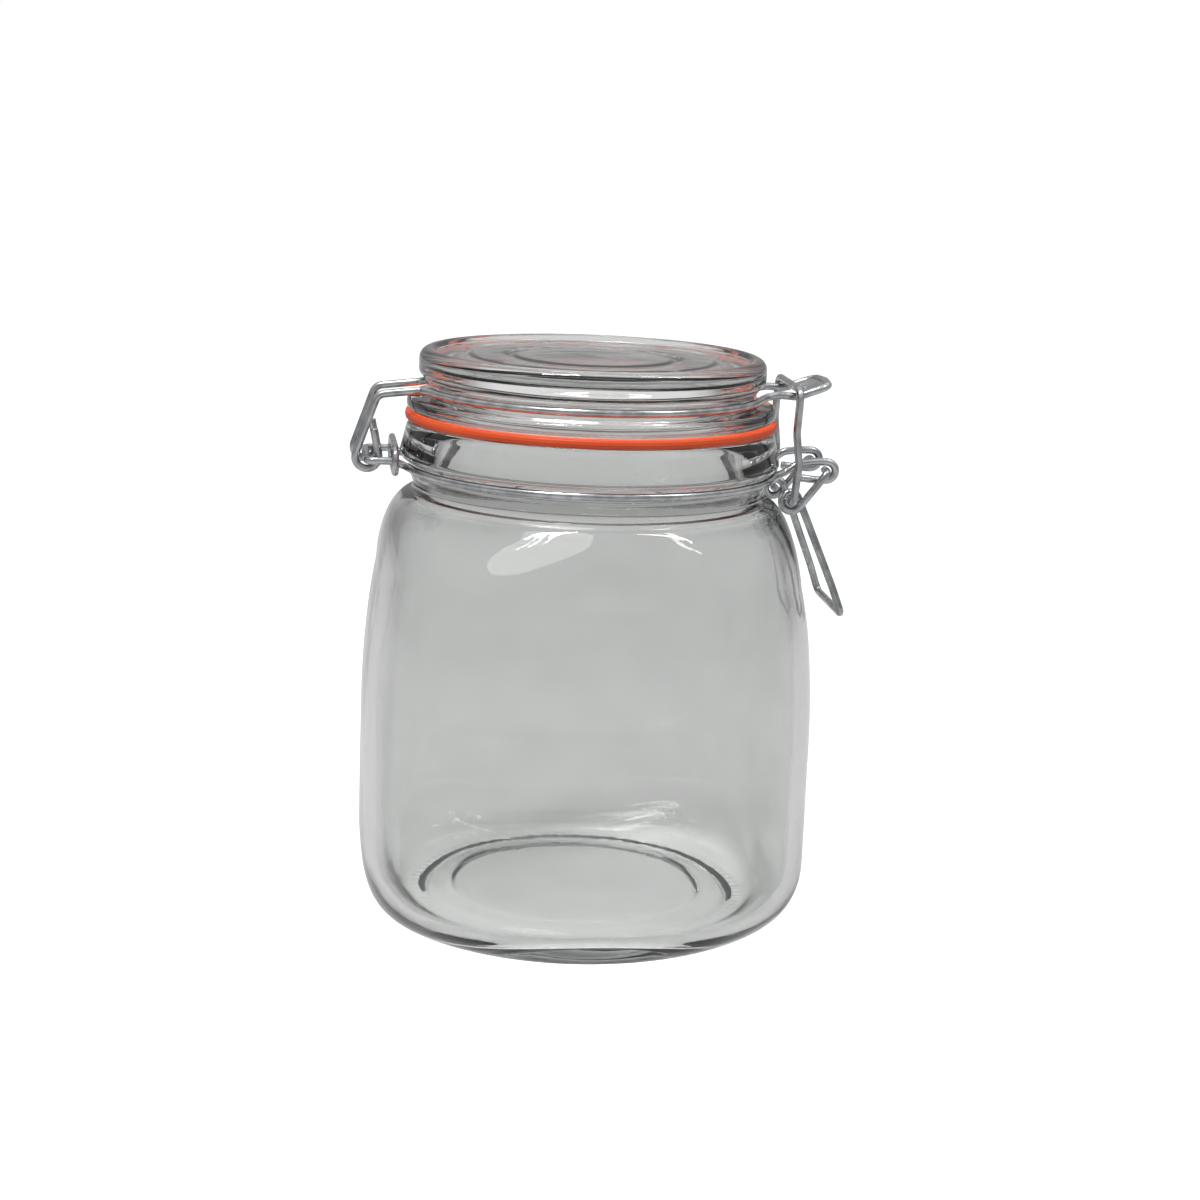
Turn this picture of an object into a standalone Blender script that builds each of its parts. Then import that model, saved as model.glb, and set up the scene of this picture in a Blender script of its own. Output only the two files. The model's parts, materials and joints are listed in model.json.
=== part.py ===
"""Bail clamp jar: a square-shouldered storage jar with a glass lid, a rubber seal and a wire closure.

The frame is +Z up, with the origin at the centre of the jar's foot. +X points at the latch,
-X at the hinge. All lengths below are in metres.

Pieces
  glass_jar        the blown jar: round foot and neck, rounded-square body
  band_wire        one wire round the neck, bent into the hinge loop at -X and two lever loops at +X
  band_clip        the oval ring that holds the two hinge arms of the band together
  glass_lid        the pressed glass lid with its wire groove
  seal_ring        the flat rubber seal between lid and jar
  lid_wire         one wire in the lid's groove, with two hooks round the band's crossbar and a loop nose
  nose_plate       the pressed steel catch plate held in the nose of the lid wire
  latch_lever      the bent wire lever: two pins, two arms, two coils and the U handle
  latch_bail       the wire bail: two pins in the lever's coils and a bar over the nose
"""

from math import atan2, cos, hypot, pi, radians, sin, sqrt

import bmesh
import bpy
import numpy as np
from mathutils import Vector

GAP = 0.0004                  # air between pieces that touch on the real jar

# Glass jar
BODY_HALF = 0.0571            # half the width across the flats
BODY_POWER = 3.4              # roundness of the body's plan, where 2 is a circle
FOOT_RADIUS = 0.0465          # the flat foot that the jar stands on
WALL = 0.0036
FLOOR_TOP = 0.0062
BODY_FLAT_LOW = 0.021         # the sides stand upright from here
BODY_FLAT_HIGH = 0.052        # up to here, then lean in a little
SHOULDER_LOW = 0.0910         # where the shoulder turns in
SHOULDER_HALF = 0.0540
SHOULDER_TOP = 0.1114         # the notch between shoulder and neck
NOTCH_RADIUS = 0.0450
NECK_GROOVE_RADIUS = 0.0464   # the band wire lies here
NECK_BULGE_RADIUS = 0.0488
NECK_BULGE_HEIGHT = 0.1208
RIM_RADIUS = 0.0466
RIM_HEIGHT = 0.1290
MOUTH_RADIUS = 0.0412

# Wire
WIRE = 0.0010                 # radius of every wire
BAND_RADIUS = NECK_GROOVE_RADIUS + WIRE + GAP
BAND_HEIGHT = 0.1179
LID_GROOVE_RADIUS = 0.0420
LID_RING_RADIUS = LID_GROOVE_RADIUS + WIRE + GAP
LID_RING_HEIGHT = 0.1374

# Seal
SEAL_OUTER_RADIUS = 0.0475
SEAL_INNER_RADIUS = 0.0405
SEAL_LOW = RIM_HEIGHT + 0.0003
SEAL_HIGH = SEAL_LOW + 0.0021

# Glass lid
LID_LOW = SEAL_HIGH + 0.0003
LID_SKIRT_RADIUS = 0.0472
LID_SKIRT_TOP = 0.1353
LID_FLANGE_RADIUS = 0.0443
LID_FLANGE_LOW = 0.1398
LID_TOP = 0.1472
LID_DISH_RADIUS = 0.0400
LID_DISH_DEPTH = 0.0012
LID_PLUG_RADIUS = 0.0392      # the part that reaches down into the mouth
LID_PLUG_LOW = 0.1268
LID_HOLLOW_RADIUS = 0.0350
LID_HOLLOW_TOP = 0.1425

# Hinge, at -X
HINGE_X = -0.0573
HINGE_HEIGHT = 0.1198
HINGE_ARM_Y = 0.0110          # the band's two arms
HOOK_Y = 0.0085               # the lid wire's two hooks
HOOK_RADIUS = 0.0030
CLIP_X = -0.0503

# Latch, at +X
PIVOT_X = 0.0600
PIVOT_HEIGHT = 0.1192
LOOP_Y = 0.0098               # the band's two lever loops
LOOP_RADIUS = 0.0024
ARM_Y = LOOP_Y + 2 * WIRE + GAP
COIL_X = 0.0509
COIL_HEIGHT = 0.1113
COIL_RADIUS = 0.0024
LEG_Y = ARM_Y - 2 * WIRE - GAP
HANDLE_X = 0.0652
HANDLE_HEIGHT = 0.0827
HANDLE_Y = 0.0148
BAIL_Y = ARM_Y + 2 * WIRE + GAP
BAIL_BAR_X = 0.0513
BAIL_BAR_HEIGHT = 0.1404
NOSE_Y = 0.0090
NOSE_SADDLE_HEIGHT = 0.1380
NOSE_TIP_X = 0.0605
NOSE_TIP_HEIGHT = 0.1412

PLAN_STEPS = 48               # points round a turned or rounded-square ring
WIRE_SIDES = 6


def clear_scene():
    for item in list(bpy.data.objects):
        bpy.data.objects.remove(item, do_unlink=True)


def make_material(name, colour, roughness, metallic, alpha=1.0, transmission=0.0):
    material = bpy.data.materials.new(name)
    material.use_nodes = True
    shader = material.node_tree.nodes["Principled BSDF"]
    shader.inputs["Base Color"].default_value = (*colour, 1.0)
    shader.inputs["Roughness"].default_value = roughness
    shader.inputs["Metallic"].default_value = metallic
    shader.inputs["Alpha"].default_value = alpha
    shader.inputs["Transmission Weight"].default_value = transmission
    return material


def add_object(name, bm, material, pivot=(0.0, 0.0, 0.0)):
    """Finish a bmesh as a smooth-shaded object whose origin is its pivot."""
    bmesh.ops.recalc_face_normals(bm, faces=bm.faces)
    bmesh.ops.translate(bm, verts=bm.verts, vec=-Vector(pivot))
    mesh = bpy.data.meshes.new(name)
    bm.to_mesh(mesh)
    bm.free()
    mesh.shade_smooth()
    mesh.set_sharp_from_angle(angle=radians(35))
    mesh.materials.append(material)
    item = bpy.data.objects.new(name, mesh)
    item.location = pivot
    bpy.context.collection.objects.link(item)
    return item


# ---------------------------------------------------------------- turned and lofted glass

def plan_ring(radius, power, height, steps=PLAN_STEPS):
    """A superellipse |x|^n + |y|^n = r^n at one height; power 2 is a circle."""
    points = []
    for index in range(steps):
        angle = 2 * pi * index / steps
        c, s = cos(angle), sin(angle)
        reach = radius / (abs(c) ** power + abs(s) ** power) ** (1 / power)
        points.append((reach * c, reach * s, height))
    return points


def loft_closed(rings):
    """Skin a list of rings into one shell, and cap the first and last ring with a fan."""
    bm = bmesh.new()
    layers = [[bm.verts.new(point) for point in ring] for ring in rings]
    for low, high in zip(layers, layers[1:]):
        count = len(low)
        for index in range(count):
            after = (index + 1) % count
            bm.faces.new((low[index], low[after], high[after], high[index]))
    bm.faces.new(list(reversed(layers[0])))
    bm.faces.new(layers[-1])
    return bm


def loft_loop(rings):
    """Skin a list of rings whose last ring joins the first, as on a seal or a washer."""
    bm = bmesh.new()
    layers = [[bm.verts.new(point) for point in ring] for ring in rings]
    for low, high in zip(layers, layers[1:] + layers[:1]):
        count = len(low)
        for index in range(count):
            after = (index + 1) % count
            bm.faces.new((low[index], low[after], high[after], high[index]))
    return bm


def arc_points(centre, radius, start, end, steps):
    """Points (r, z) on an arc, angles in degrees from +r towards +z."""
    return [
        (centre[0] + radius * cos(radians(start + (end - start) * i / steps)),
         centre[1] + radius * sin(radians(start + (end - start) * i / steps)))
        for i in range(steps + 1)
    ]


def quarter_ellipse(start, end, steps, outward_first):
    """Points on a quarter ellipse from start to end; it leaves start outward or upward."""
    points = []
    for index in range(1, steps + 1):
        angle = (pi / 2) * index / steps
        if outward_first:
            share_r, share_z = sin(angle), 1 - cos(angle)
        else:
            share_r, share_z = 1 - cos(angle), sin(angle)
        points.append((start[0] + (end[0] - start[0]) * share_r,
                       start[1] + (end[1] - start[1]) * share_z))
    return points


def body_power(height):
    """Roundness of the jar's plan by height: round foot, square body, round neck."""
    low = min(1.0, max(0.0, height / BODY_FLAT_LOW))
    high = min(1.0, max(0.0, (SHOULDER_TOP - 0.003 - height) / 0.030))
    ease = min(sin(low * pi / 2), sin(high * pi / 2) ** 1.5)
    return 2.0 + (BODY_POWER - 2.0) * ease


def lean_in(low, high, steps):
    """Points from low to high whose lean grows with the square of the height."""
    return [(low[0] + (high[0] - low[0]) * (i / steps) ** 2, low[1] + (high[1] - low[1]) * i / steps)
            for i in range(1, steps + 1)]


def side_profile(inset, foot, neck):
    """One wall of the jar from its foot to its neck, inset from the outside by a thickness."""
    half, shoulder = BODY_HALF - inset, SHOULDER_HALF - inset
    points = [foot]
    points += quarter_ellipse(foot, (half, BODY_FLAT_LOW), 5, True)
    points += [(half, BODY_FLAT_HIGH)]
    points += lean_in((half, BODY_FLAT_HIGH), (shoulder, SHOULDER_LOW), 2)
    points += quarter_ellipse((shoulder, SHOULDER_LOW), neck, 5, False)
    return points


def build_jar(material):
    outer = side_profile(0.0, (FOOT_RADIUS, 0.0), (NOTCH_RADIUS + 0.0010, SHOULDER_TOP - 0.0008))
    outer += [(NOTCH_RADIUS, SHOULDER_TOP), (NOTCH_RADIUS, SHOULDER_TOP + 0.0012),
              (NECK_GROOVE_RADIUS, BAND_HEIGHT - 0.0016), (NECK_GROOVE_RADIUS, BAND_HEIGHT + 0.0004),
              (NECK_BULGE_RADIUS - 0.0005, NECK_BULGE_HEIGHT - 0.0012),
              (NECK_BULGE_RADIUS, NECK_BULGE_HEIGHT),
              (RIM_RADIUS + 0.0006, RIM_HEIGHT - 0.0016), (RIM_RADIUS - 0.0003, RIM_HEIGHT)]
    inner = [(MOUTH_RADIUS + 0.0005, RIM_HEIGHT), (MOUTH_RADIUS, RIM_HEIGHT - 0.0006)]
    inner += reversed(side_profile(WALL, (FOOT_RADIUS - 0.001, FLOOR_TOP), (MOUTH_RADIUS, SHOULDER_TOP - 0.002)))
    rings = [plan_ring(r, body_power(z), z) for r, z in outer]
    rings += [plan_ring(r, body_power(z) if z > FLOOR_TOP else 2.0, z) for r, z in inner]
    return add_object("glass_jar", loft_closed(rings), material)


def build_lid(material):
    """The lid's section from the middle of its underside out, up and back to the middle."""
    section = [(LID_HOLLOW_RADIUS - 0.004, LID_HOLLOW_TOP), (LID_HOLLOW_RADIUS, LID_HOLLOW_TOP - 0.003),
               (LID_HOLLOW_RADIUS, LID_PLUG_LOW + 0.0006), (LID_HOLLOW_RADIUS + 0.0008, LID_PLUG_LOW),
               (LID_PLUG_RADIUS - 0.0008, LID_PLUG_LOW), (LID_PLUG_RADIUS, LID_PLUG_LOW + 0.0010),
               (LID_PLUG_RADIUS, LID_LOW), (LID_SKIRT_RADIUS - 0.0006, LID_LOW)]
    section += arc_points((LID_SKIRT_RADIUS - 0.0012, LID_LOW + 0.0014), 0.0012, -40, 30, 2)
    section += arc_points((LID_SKIRT_RADIUS - 0.0014, LID_SKIRT_TOP - 0.0014), 0.0014, 20, 90, 3)
    section += [(LID_GROOVE_RADIUS + 0.0006, LID_SKIRT_TOP + 0.0004), (LID_GROOVE_RADIUS, LID_SKIRT_TOP + 0.0012),
                (LID_GROOVE_RADIUS, LID_FLANGE_LOW - 0.0010), (LID_GROOVE_RADIUS + 0.0006, LID_FLANGE_LOW - 0.0002),
                (LID_FLANGE_RADIUS - 0.0018, LID_FLANGE_LOW)]
    section += arc_points((LID_FLANGE_RADIUS - 0.0020, LID_FLANGE_LOW + 0.0022), 0.0020, -60, 0, 2)
    section += arc_points((LID_FLANGE_RADIUS - 0.0024, LID_TOP - 0.0024), 0.0024, 10, 90, 4)
    section += [(LID_DISH_RADIUS + 0.0008, LID_TOP - 0.0002), (LID_DISH_RADIUS, LID_TOP - LID_DISH_DEPTH)]
    rings = [plan_ring(r, 2.0, z) for r, z in section]
    return add_object("glass_lid", loft_closed(rings), material, (HINGE_X, 0.0, HINGE_HEIGHT))


def build_seal(material):
    section = [(SEAL_INNER_RADIUS, SEAL_LOW), (SEAL_OUTER_RADIUS - 0.0004, SEAL_LOW),
               (SEAL_OUTER_RADIUS, SEAL_LOW + 0.0005), (SEAL_OUTER_RADIUS, SEAL_HIGH - 0.0005),
               (SEAL_OUTER_RADIUS - 0.0004, SEAL_HIGH), (SEAL_INNER_RADIUS, SEAL_HIGH)]
    rings = [plan_ring(r, 2.0, z) for r, z in section]
    return add_object("seal_ring", loft_loop(rings), material, (HINGE_X, 0.0, HINGE_HEIGHT))


# ---------------------------------------------------------------- bent wire

def fillet_path(corners, spacing=0.0006):
    """Turn (point, bend radius) corners into a path of straight runs and round bends."""
    path = [np.array(corners[0][0], dtype=float)]
    for before, (corner, radius), after in zip(corners, corners[1:], corners[2:]):
        corner = np.array(corner, dtype=float)
        inward = np.array(before[0], dtype=float) - corner
        outward = np.array(after[0], dtype=float) - corner
        inward /= np.linalg.norm(inward)
        outward /= np.linalg.norm(outward)
        half = 0.5 * np.arccos(np.clip(inward @ outward, -1.0, 1.0))
        turn = pi - 2 * half
        if radius == 0.0 or turn < radians(2):
            path.append(corner)
            continue
        bisector = inward + outward
        bisector /= np.linalg.norm(bisector)
        centre = corner + bisector * radius / sin(half)
        start = corner + inward * radius / np.tan(half) - centre
        steps = max(2, int(np.ceil(turn / radians(24))))
        normal = np.cross(start, corner + outward * radius / np.tan(half) - centre)
        normal /= np.linalg.norm(normal)
        for index in range(steps + 1):
            angle = turn * index / steps
            path.append(centre + start * cos(angle) + np.cross(normal, start) * sin(angle))
    path.append(np.array(corners[-1][0], dtype=float))
    return [point for i, point in enumerate(path) if i == 0 or np.linalg.norm(point - path[i - 1]) > 1e-5]


def wire_mesh(path, closed=False, radius=WIRE, sides=WIRE_SIDES):
    """Carry a round section along a path with a frame that never twists suddenly."""
    points = np.array(path)
    count = len(points)
    if closed:
        tangents = np.roll(points, -1, axis=0) - np.roll(points, 1, axis=0)
    else:
        tangents = np.gradient(points, axis=0)
    tangents /= np.linalg.norm(tangents, axis=1)[:, None]
    normal = np.cross(tangents[0], (0.0, 0.0, 1.0))
    if np.linalg.norm(normal) < 0.1:
        normal = np.cross(tangents[0], (0.0, 1.0, 0.0))
    normals = []
    for tangent in tangents:
        normal = normal - tangent * (normal @ tangent)
        normal = normal / np.linalg.norm(normal)
        normals.append(normal)
    bm = bmesh.new()
    layers = []
    for point, tangent, normal in zip(points, tangents, normals):
        side = np.cross(tangent, normal)
        layer = []
        for index in range(sides):
            angle = 2 * pi * index / sides
            layer.append(bm.verts.new(point + radius * (normal * cos(angle) + side * sin(angle))))
        layers.append(layer)
    pairs = list(zip(layers, layers[1:]))
    if closed:
        pairs.append((layers[-1], layers[0]))
    for low, high in pairs:
        for index in range(sides):
            after = (index + 1) % sides
            bm.faces.new((low[index], low[after], high[after], high[index]))
    if not closed:
        bm.faces.new(list(reversed(layers[0])))
        bm.faces.new(layers[-1])
    return bm


def round_ring(radius, height, start, end, steps):
    """Points on a circle about the jar's axis, angles in degrees."""
    return [(radius * cos(radians(start + (end - start) * i / steps)),
             radius * sin(radians(start + (end - start) * i / steps)), height) for i in range(steps + 1)]


def circle_run(centre, radius, start, end, y_start, y_end, steps):
    """A run of points round a centre in the XZ plane, sliding in Y; angles from +X towards +Z."""
    run = []
    for index in range(steps + 1):
        share = index / steps
        angle = radians(start + (end - start) * share)
        run.append((centre[0] + radius * cos(angle), y_start + (y_end - y_start) * share,
                    centre[1] + radius * sin(angle)))
    return run


def mirrored(run):
    return [(x, -y, z) for x, y, z in reversed(run)]


def build_band(material):
    """One wire: lever loop, half the neck, hinge loop, the other half of the neck, lever loop."""
    leave_latch = np.degrees(np.arcsin(LOOP_Y / BAND_RADIUS))
    leave_hinge = 180 - np.degrees(np.arcsin(HINGE_ARM_Y / BAND_RADIUS))
    loop_centre = (PIVOT_X, PIVOT_HEIGHT)
    loop = [(PIVOT_X - 0.0078, LOOP_Y, PIVOT_HEIGHT - 0.0017)]
    loop += [(PIVOT_X - 0.0040, LOOP_Y, PIVOT_HEIGHT - LOOP_RADIUS + 0.0002)]
    loop += circle_run(loop_centre, LOOP_RADIUS, -90, 90, LOOP_Y, LOOP_Y, 7)
    loop += [(PIVOT_X - 0.0030, LOOP_Y, PIVOT_HEIGHT + LOOP_RADIUS), (PIVOT_X - 0.0072, LOOP_Y, PIVOT_HEIGHT + 0.0019),
             (PIVOT_X - 0.0108, LOOP_Y + 0.0001, BAND_HEIGHT + 0.0008)]
    neck = round_ring(BAND_RADIUS, BAND_HEIGHT, leave_latch + 3, leave_hinge - 5, 20)
    arm_inner = -sqrt(BAND_RADIUS ** 2 - HINGE_ARM_Y ** 2)
    hinge = fillet_path([
        ((arm_inner - 0.0015, HINGE_ARM_Y, BAND_HEIGHT + 0.0008), 0.0),
        ((arm_inner - 0.0042, HINGE_ARM_Y, HINGE_HEIGHT), 0.002),
        ((HINGE_X, HINGE_ARM_Y, HINGE_HEIGHT), 0.0018),
        ((HINGE_X, 0.0, HINGE_HEIGHT), 0.0),
    ])
    half = [tuple(p) for p in loop + neck + hinge]
    path = half[:-1] + mirrored(half)
    return add_object("band_wire", wire_mesh(path), material)


def build_clip(material):
    """A stadium-shaped ring round both hinge arms, in a plane of constant X."""
    reach, radius = HINGE_ARM_Y - 0.0005, 0.0030
    path = []
    for index in range(9):
        angle = radians(-90 + 22.5 * index)
        path.append((CLIP_X, reach + radius * cos(angle), HINGE_HEIGHT + radius * sin(angle)))
    path += [(x, -y, z) for x, y, z in reversed(path)]
    return add_object("band_clip", wire_mesh(path, closed=True, radius=0.0009), material)


def build_lid_wire(material):
    """One wire: hook, hinge arm, half the groove, nose loop, and the same again mirrored."""
    leave_hinge = 180 - np.degrees(np.arcsin(HOOK_Y / LID_RING_RADIUS))
    leave_nose = np.degrees(np.arcsin(NOSE_Y / LID_RING_RADIUS))
    hook_centre = (HINGE_X, HINGE_HEIGHT + 0.0006)
    tail_top = (HINGE_X + 0.0016, HOOK_Y, HINGE_HEIGHT + 0.0078)
    hook = [tail_top] + circle_run(hook_centre, HOOK_RADIUS, 12, -205, HOOK_Y, HOOK_Y, 10)
    arm = fillet_path([
        (hook[-1], 0.0),
        ((-0.0549, HOOK_Y, 0.1362), 0.0024),
        ((-0.0440, HOOK_Y, LID_RING_HEIGHT), 0.0),
    ])[1:]
    ring = round_ring(LID_RING_RADIUS, LID_RING_HEIGHT, leave_hinge - 5, leave_nose + 5, 18)
    nose = fillet_path([
        ((0.0440, NOSE_Y, LID_RING_HEIGHT + 0.0004), 0.0),
        ((0.0470, NOSE_Y, NOSE_SADDLE_HEIGHT + 0.0004), 0.002),
        ((0.0516, NOSE_Y, NOSE_SADDLE_HEIGHT), 0.004),
        ((NOSE_TIP_X - 0.0008, NOSE_Y, NOSE_TIP_HEIGHT - 0.0003), 0.0030),
        ((NOSE_TIP_X, 0.0, NOSE_TIP_HEIGHT), 0.0),
    ])
    half = [tuple(p) for p in hook + arm + ring + nose]
    path = half[:-1] + [(NOSE_TIP_X, 0.0, NOSE_TIP_HEIGHT)] + mirrored(half[:-1])
    return add_object("lid_wire", wire_mesh(path), material, (HINGE_X, 0.0, HINGE_HEIGHT))


def build_nose_plate(material):
    """A thin pressed plate that fills the raised end of the nose loop."""
    slope = atan2(NOSE_TIP_HEIGHT - NOSE_SADDLE_HEIGHT, NOSE_TIP_X - 0.0516)
    inner = NOSE_Y - WIRE - GAP
    near_x, far_x = 0.0536, NOSE_TIP_X - WIRE - GAP
    outline = [(near_x, -inner), (far_x - 0.0022, -inner), (far_x - 0.0006, -inner + 0.0010), (far_x, -inner + 0.0030),
               (far_x, inner - 0.0030), (far_x - 0.0006, inner - 0.0010), (far_x - 0.0022, inner), (near_x, inner)]
    bm = bmesh.new()
    half_thick = 0.0005
    layers = []
    for side in (-1, 1):
        layer = []
        for x, y in outline:
            z = NOSE_SADDLE_HEIGHT + (x - 0.0516) * np.tan(slope) + side * half_thick
            layer.append(bm.verts.new((x, y, z)))
        layers.append(layer)
    count = len(outline)
    for index in range(count):
        after = (index + 1) % count
        bm.faces.new((layers[0][index], layers[0][after], layers[1][after], layers[1][index]))
    bm.faces.new(list(reversed(layers[0])))
    bm.faces.new(layers[1])
    return add_object("nose_plate", bm, material, (HINGE_X, 0.0, HINGE_HEIGHT))


def build_lever(material):
    """One wire: pin, arm, coil and leg, then the handle's bar, and the same again mirrored."""
    along = atan2(COIL_HEIGHT - PIVOT_HEIGHT, COIL_X - PIVOT_X)
    span = hypot(COIL_X - PIVOT_X, COIL_HEIGHT - PIVOT_HEIGHT)
    start_angle = np.degrees(along + np.arcsin(COIL_RADIUS / span)) + 90
    leg_direction = atan2(HANDLE_HEIGHT - COIL_HEIGHT, HANDLE_X - COIL_X)
    end_angle = np.degrees(leg_direction) + 90 - 360
    pin = fillet_path([
        ((PIVOT_X, LOOP_Y - 0.0022, PIVOT_HEIGHT), 0.0),
        ((PIVOT_X, ARM_Y, PIVOT_HEIGHT), 0.0016),
        (circle_run((COIL_X, COIL_HEIGHT), COIL_RADIUS, start_angle, start_angle, ARM_Y, ARM_Y, 1)[0], 0.0),
    ])[:-1]
    coil = circle_run((COIL_X, COIL_HEIGHT), COIL_RADIUS, start_angle, end_angle, ARM_Y, LEG_Y, 14)
    leg = fillet_path([
        (coil[-1], 0.0),
        ((0.0624, LEG_Y + (HANDLE_Y - LEG_Y) * 0.75, 0.0900), 0.008),
        ((HANDLE_X, HANDLE_Y, HANDLE_HEIGHT), 0.0016),
        ((HANDLE_X, 0.0, HANDLE_HEIGHT), 0.0),
    ])[1:]
    half = [tuple(p) for p in pin + coil + leg]
    path = half[:-1] + mirrored(half)
    return add_object("latch_lever", wire_mesh(path), material, (PIVOT_X, 0.0, PIVOT_HEIGHT))


def build_bail(material):
    """One wire: pin, leg with its slight kink, bar over the nose, and the same again mirrored."""
    half = fillet_path([
        ((COIL_X, LEG_Y - 0.0006, COIL_HEIGHT), 0.0),
        ((COIL_X, BAIL_Y, COIL_HEIGHT), 0.0014),
        ((COIL_X + 0.0009, BAIL_Y, 0.1214), 0.012),
        ((COIL_X - 0.0001, BAIL_Y, 0.1294), 0.010),
        ((BAIL_BAR_X, BAIL_Y, BAIL_BAR_HEIGHT), 0.0026),
        ((BAIL_BAR_X, 0.0, BAIL_BAR_HEIGHT), 0.0),
    ])
    half = [tuple(p) for p in half]
    path = half[:-1] + mirrored(half)
    return add_object("latch_bail", wire_mesh(path), material, (COIL_X, 0.0, COIL_HEIGHT))


def main():
    clear_scene()
    glass = make_material("clear_glass", (0.80, 0.84, 0.82), 0.03, 0.0, 0.35, 1.0)
    rubber = make_material("orange_rubber", (0.83, 0.16, 0.03), 0.5, 0.0)
    wire = make_material("zinc_plated_wire", (0.62, 0.63, 0.62), 0.22, 1.0)
    plate = make_material("zinc_plated_plate", (0.58, 0.59, 0.60), 0.28, 1.0)
    build_jar(glass)
    build_band(wire)
    build_clip(wire)
    build_lid(glass)
    build_seal(rubber)
    build_lid_wire(wire)
    build_nose_plate(plate)
    build_lever(wire)
    build_bail(wire)


main()
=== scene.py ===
"""Bail clamp jar: blown glass, pressed glass, rubber and zinc-plated wire, with an operator for each glass or
rubber piece, one for the plate, one for all the wires and one for the stage.

All lengths are in metres. +Z is up, +X is towards the latch, -X is towards the hinge, and the origin is
the centre of the jar's foot. Every piece is a surface worked out with numpy, and keeps its place in its
mesh.
"""

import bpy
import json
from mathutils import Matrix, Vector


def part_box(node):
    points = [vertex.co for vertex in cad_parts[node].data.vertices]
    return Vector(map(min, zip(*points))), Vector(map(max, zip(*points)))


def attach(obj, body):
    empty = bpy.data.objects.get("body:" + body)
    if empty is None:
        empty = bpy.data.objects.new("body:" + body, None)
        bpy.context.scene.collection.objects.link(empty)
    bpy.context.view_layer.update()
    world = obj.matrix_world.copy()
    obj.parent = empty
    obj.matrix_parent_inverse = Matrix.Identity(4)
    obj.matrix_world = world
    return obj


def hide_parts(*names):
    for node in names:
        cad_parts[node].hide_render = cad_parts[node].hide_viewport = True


bl_info = {
    "name": "Bail clamp jar",
    "version": (1, 0, 0),
    "blender": (4, 5, 0),
    "location": "View3D > Sidebar > Clamp jar",
    "description": "Builds a glass storage jar with a hinged lid, a rubber seal and a wire bail clamp",
    "category": "Add Mesh",
}

import json

import bpy
import numpy as np
from bpy.props import FloatProperty, FloatVectorProperty, IntProperty, PointerProperty
from mathutils import Euler, Matrix, Vector

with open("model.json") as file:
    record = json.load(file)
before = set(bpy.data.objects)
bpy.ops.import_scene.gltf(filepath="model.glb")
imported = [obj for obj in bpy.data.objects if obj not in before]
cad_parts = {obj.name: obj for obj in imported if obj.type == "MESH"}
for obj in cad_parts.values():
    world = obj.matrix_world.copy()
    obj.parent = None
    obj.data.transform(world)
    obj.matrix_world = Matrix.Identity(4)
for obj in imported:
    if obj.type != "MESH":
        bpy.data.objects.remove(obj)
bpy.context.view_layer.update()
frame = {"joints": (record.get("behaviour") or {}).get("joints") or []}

JOINTS = {joint["name"]: joint for joint in frame["joints"]}
HINGE_X, _, HINGE_Z = JOINTS["lid_hinge"]["pos_m"]      # the band's crossbar
PIVOT_X, _, PIVOT_Z = JOINTS["lever_pivot"]["pos_m"]    # the lever's pins in the band's loops
COIL_X, _, COIL_Z = JOINTS["bail_pivot"]["pos_m"]       # the bail's pins in the lever's coils

_, JAR_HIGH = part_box("glass_jar")
LID_LOW, LID_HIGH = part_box("glass_lid")
SEAL_LOW, SEAL_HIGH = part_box("seal_ring")
HANDLE_LOW, HANDLE_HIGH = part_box("latch_lever")
_, BAIL_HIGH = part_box("latch_bail")

BODY_HALF = JAR_HIGH.y        # half the width across the flats
RIM_Z = JAR_HIGH.z            # the jar's mouth rim
SKIRT_RADIUS = LID_HIGH.y     # the widest part of the lid
LID_TOP = LID_HIGH.z
JAR_SHOULDER = (0.0, 0.0, 0.10)
MM = 0.001


# ---------------------------------------------------------------- colour and nodes

def linear(code):
    """An sRGB hex colour as linear red, green and blue."""
    channels = np.array([int(code[i:i + 2], 16) for i in (1, 3, 5)]) / 255
    low, high = channels / 12.92, ((channels + 0.055) / 1.055) ** 2.4
    return tuple(float(c) for c in np.where(channels <= 0.04045, low, high))


def add_node(tree, kind, inputs=(), **settings):
    """Add a node, set its properties, and give each named input a value or a link."""
    node = tree.nodes.new(kind)
    for name, value in settings.items():
        setattr(node, name, value)
    for name, value in dict(inputs).items():
        if isinstance(value, bpy.types.NodeSocket):
            tree.links.new(value, node.inputs[name])
        else:
            node.inputs[name].default_value = value
    return node


def add_ramp(tree, factor, stops):
    """A colour ramp over a factor, with stops of (place, linear colour)."""
    node = add_node(tree, "ShaderNodeValToRGB", {"Fac": factor})
    elements = node.color_ramp.elements
    while len(elements) < len(stops):
        elements.new(0.5)
    for element, (place, colour) in zip(elements, stops):
        element.position = place
        element.color = (*colour, 1.0)
    return node.outputs["Color"]


def grey(value):
    return (value, value, value)


# The Mix node has sockets of the same name for each kind of data: these are its colour ones.
MIX_COLOUR_A, MIX_COLOUR_B, MIX_COLOUR_RESULT = 6, 7, 2


GLASS_DEPTH = linear("#B3B6B4")    # what iron in the sand leaves of white light


def new_material(name):
    """An empty material with a Principled shader, and its node tree."""
    material = bpy.data.materials.get(name)
    if material is None:
        material = bpy.data.materials.new(name)
    material.use_nodes = True
    tree = material.node_tree
    tree.nodes.clear()
    shader = add_node(tree, "ShaderNodeBsdfPrincipled")
    add_node(tree, "ShaderNodeOutputMaterial", {"Surface": shader.outputs["BSDF"]})
    return material, tree, shader


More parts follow.
